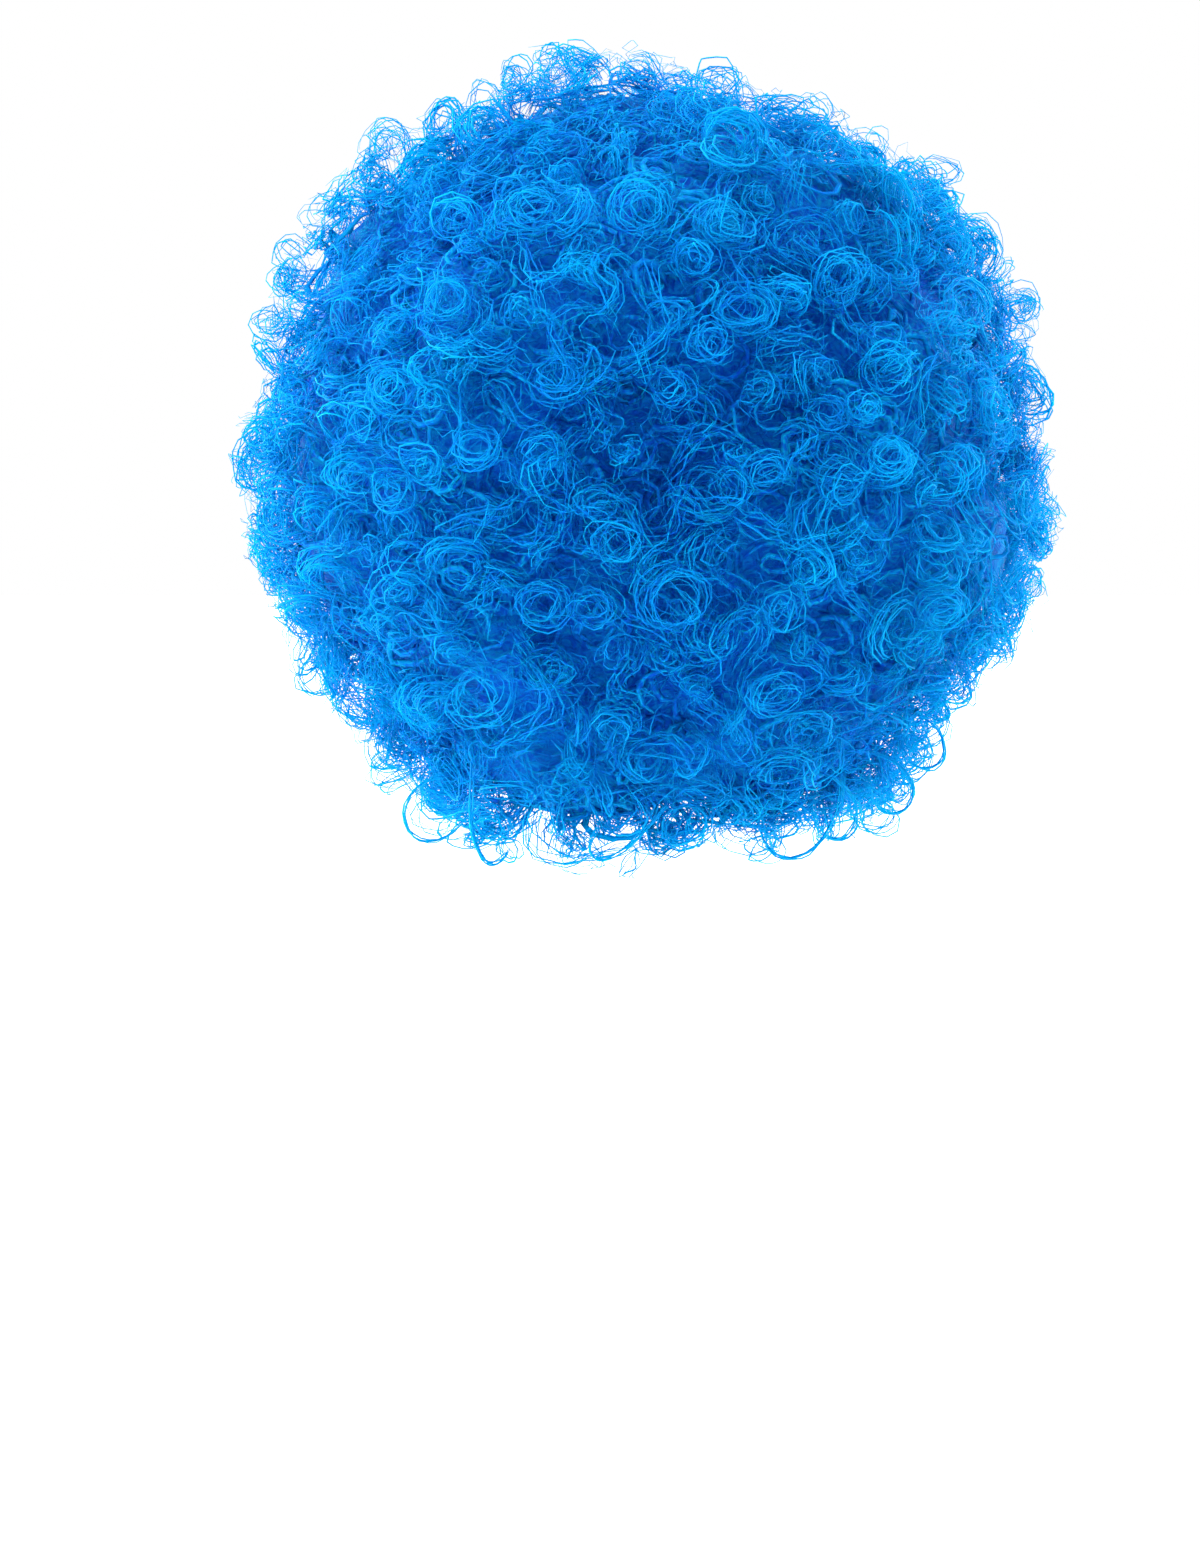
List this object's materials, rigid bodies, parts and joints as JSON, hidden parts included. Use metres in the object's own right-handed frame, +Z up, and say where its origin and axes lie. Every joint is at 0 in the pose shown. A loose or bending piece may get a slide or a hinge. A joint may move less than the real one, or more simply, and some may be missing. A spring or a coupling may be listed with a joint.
{
  "type": "clown wig",
  "caption": "Round wig of bright blue ringlets in sewn rows on a knitted head cap with an elastic edge, leaving the face open.",
  "frame": {"origin": "inside of the cap's crown, where the top of the wearer's head sits", "axes": "+Z up out of the crown, -Y towards the face opening, +X to the wearer's left"},
  "size_m": [0.3289, 0.3103, 0.3097],
  "materials": {
    "net": "open knitted polyester net, matt",
    "elastic": "ribbed woven elastic, matt",
    "hair": "crimped synthetic fibre, bright blue with a soft gloss"
  },
  "bodies": {
    "root": {"net_cap": "net", "elastic_band": "elastic", "crown_tuft": "hair", "hair_row_1": "hair", "hair_row_2": "hair", "hair_row_3": "hair", "hair_row_4": "hair", "hair_row_5": "hair", "hair_row_6": "hair", "hair_row_7": "hair"}
  },
  "joints": []
}
